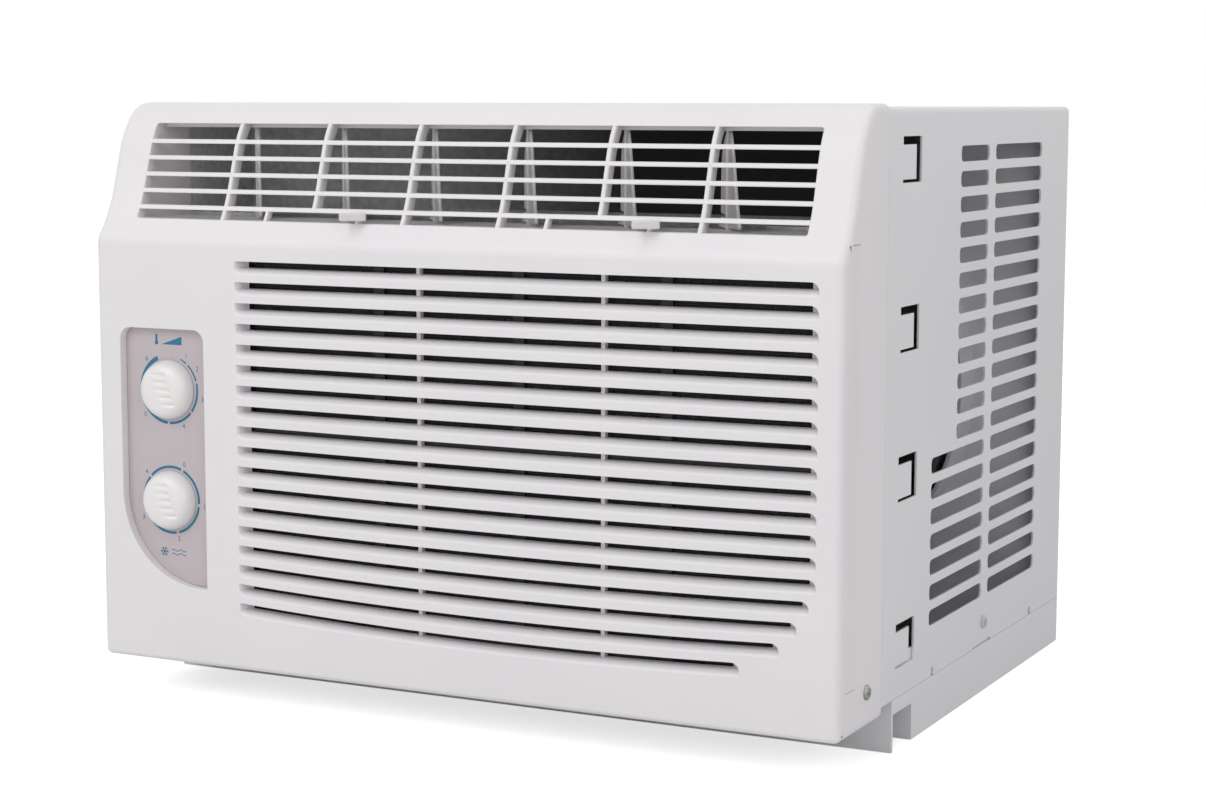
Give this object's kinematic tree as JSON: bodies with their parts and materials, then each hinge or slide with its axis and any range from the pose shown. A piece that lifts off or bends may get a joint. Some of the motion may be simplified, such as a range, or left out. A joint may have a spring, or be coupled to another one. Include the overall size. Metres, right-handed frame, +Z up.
{
  "type": "window air conditioner",
  "caption": "Window air conditioner: sheet-metal cabinet on a base pan, moulded front with intake slots, S-curved discharge grille, turning vanes and dials, with its cooling circuit inside.",
  "frame": {"origin": "middle of the footprint, on the surface that the base pan stands on", "axes": "+Z up, +Y towards the outdoor end, so the front panel faces -Y, +X to the right seen from the front"},
  "size_m": [0.4098, 0.346, 0.303],
  "materials": {
    "painted_steel": "satin white powder coat",
    "white_abs": "fine-grained moulded white ABS",
    "grey_abs": "matt grey moulded plate with printed rings",
    "knob_white": "moulded white ABS",
    "vane_grey": "moulded light grey plastic",
    "filter_white": "moulded polypropylene frame",
    "filter_net": "woven nylon net",
    "fin_aluminium": "thin stamped fins",
    "copper": "bare copper tube",
    "galvanised": "galvanised sheet",
    "eps_foam": "moulded foam and plastic ducting",
    "black_plastic": "moulded black plastic",
    "grey_plastic": "moulded fan plastic",
    "motor_shell": "plated motor shell",
    "bright_steel": "bright steel",
    "black_enamel": "black enamel on steel",
    "rubber": "moulded rubber",
    "brown_phenolic": "moulded phenolic",
    "seal_foam": "closed-cell foam strip",
    "wire_sleeve": "sleeved wires",
    "capacitor_can": "drawn aluminium can"
  },
  "bodies": {
    "housing": {"base_pan": "painted_steel", "cabinet": "painted_steel", "front_panel": "white_abs", "control_fascia": "grey_abs", "thermostat_body": "galvanised", "sensing_bulb": "copper", "mode_switch_body": "brown_phenolic", "control_box": "galvanised", "evaporator_fins": "fin_aluminium", "evaporator_tubes": "copper", "evaporator_end_plates": "galvanised", "drip_tray": "eps_foam", "blower_inlet_ring": "eps_foam", "scroll_housing": "eps_foam", "bulkhead": "galvanised", "fan_motor": "motor_shell", "motor_bracket": "galvanised", "fan_shroud": "painted_steel", "condenser_fins": "fin_aluminium", "condenser_tubes": "copper", "condenser_end_plates": "galvanised", "compressor": "black_enamel", "accumulator": "black_enamel", "compressor_grommets": "rubber", "compressor_studs": "bright_steel", "terminal_cover": "black_plastic", "discharge_pipe": "copper", "suction_pipe": "copper", "liquid_pipe": "copper", "filter_drier": "copper", "capillary_tube": "copper", "run_capacitor": "capacitor_can", "capacitor_clamp": "galvanised", "wiring_loom": "wire_sleeve", "top_seal": "seal_foam", "panel_screws": "bright_steel", "cabinet_screws": "bright_steel", "cord_grommet": "rubber"},
    "temperature_dial": {"temperature_knob": "knob_white", "thermostat_shaft": "bright_steel"},
    "mode_dial": {"mode_knob": "knob_white", "mode_switch_shaft": "bright_steel"},
    "rotor": {"blower_wheel": "black_plastic", "motor_shaft": "bright_steel", "condenser_fan": "grey_plastic", "fan_nut": "bright_steel"},
    "air_filter": {"filter_frame": "filter_white", "filter_mesh": "filter_net"},
    "left_linkage": {"left_tie_bar": "vane_grey"},
    "right_linkage": {"right_tie_bar": "vane_grey"},
    "air_vane_1": {"vane_1": "vane_grey"},
    "air_vane_2": {"vane_2": "vane_grey"},
    "air_vane_3": {"vane_3": "vane_grey"},
    "air_vane_4": {"vane_4": "vane_grey"},
    "air_vane_5": {"vane_5": "vane_grey"},
    "air_vane_6": {"vane_6": "vane_grey"}
  },
  "joints": [
    {"name": "temperature_turn", "type": "hinge", "parent": "housing", "child": "temperature_dial", "pos_m": [-0.162, -0.169, 0.159], "axis": [0, 1, 0], "range_deg": [-158, 158]},
    {"name": "mode_turn", "type": "hinge", "parent": "housing", "child": "mode_dial", "pos_m": [-0.162, -0.169, 0.1025], "axis": [0, 1, 0], "range_deg": [0, 288]},
    {"name": "left_vane_lever", "type": "hinge", "parent": "housing", "child": "air_vane_2", "pos_m": [-0.078, -0.129, 0.268], "axis": [0, 0, 1], "range_deg": [-73, 0]},
    {"name": "right_vane_lever", "type": "hinge", "parent": "housing", "child": "air_vane_5", "pos_m": [0.078, -0.129, 0.268], "axis": [0, 0, 1], "range_deg": [-73, 0]},
    {"name": "vane_1_pivot", "type": "hinge", "parent": "housing", "child": "air_vane_1", "pos_m": [-0.13, -0.129, 0.268], "axis": [0, 0, 1], "range_deg": [-73, 0]},
    {"name": "vane_3_pivot", "type": "hinge", "parent": "housing", "child": "air_vane_3", "pos_m": [-0.026, -0.129, 0.268], "axis": [0, 0, 1], "range_deg": [-73, 0]},
    {"name": "vane_4_pivot", "type": "hinge", "parent": "housing", "child": "air_vane_4", "pos_m": [0.026, -0.129, 0.268], "axis": [0, 0, 1], "range_deg": [-73, 0]},
    {"name": "vane_6_pivot", "type": "hinge", "parent": "housing", "child": "air_vane_6", "pos_m": [0.13, -0.129, 0.268], "axis": [0, 0, 1], "range_deg": [-73, 0]},
    {"name": "left_tie_pivot", "type": "hinge", "parent": "air_vane_2", "child": "left_linkage", "pos_m": [-0.08454, -0.12016, 0.2487], "axis": [0, 0, 1], "range_deg": [0, 73]},
    {"name": "right_tie_pivot", "type": "hinge", "parent": "air_vane_5", "child": "right_linkage", "pos_m": [0.07146, -0.12016, 0.2487], "axis": [0, 0, 1], "range_deg": [0, 73]},
    {"name": "rotor_spin", "type": "hinge", "parent": "housing", "child": "rotor", "pos_m": [0.037, -0.019, 0.148], "axis": [0, 1, 0], "continuous": true},
    {"name": "filter_slide", "type": "slide", "parent": "housing", "child": "air_filter", "axis": [1, 0, 0], "range_m": [0, 0.28]}
  ],
  "couplings": [
    {"joint": "vane_1_pivot", "follows": "left_vane_lever", "ratio": 1},
    {"joint": "vane_3_pivot", "follows": "left_vane_lever", "ratio": 1},
    {"joint": "left_tie_pivot", "follows": "left_vane_lever", "ratio": -1},
    {"joint": "vane_4_pivot", "follows": "right_vane_lever", "ratio": 1},
    {"joint": "vane_6_pivot", "follows": "right_vane_lever", "ratio": 1},
    {"joint": "right_tie_pivot", "follows": "right_vane_lever", "ratio": -1}
  ]
}
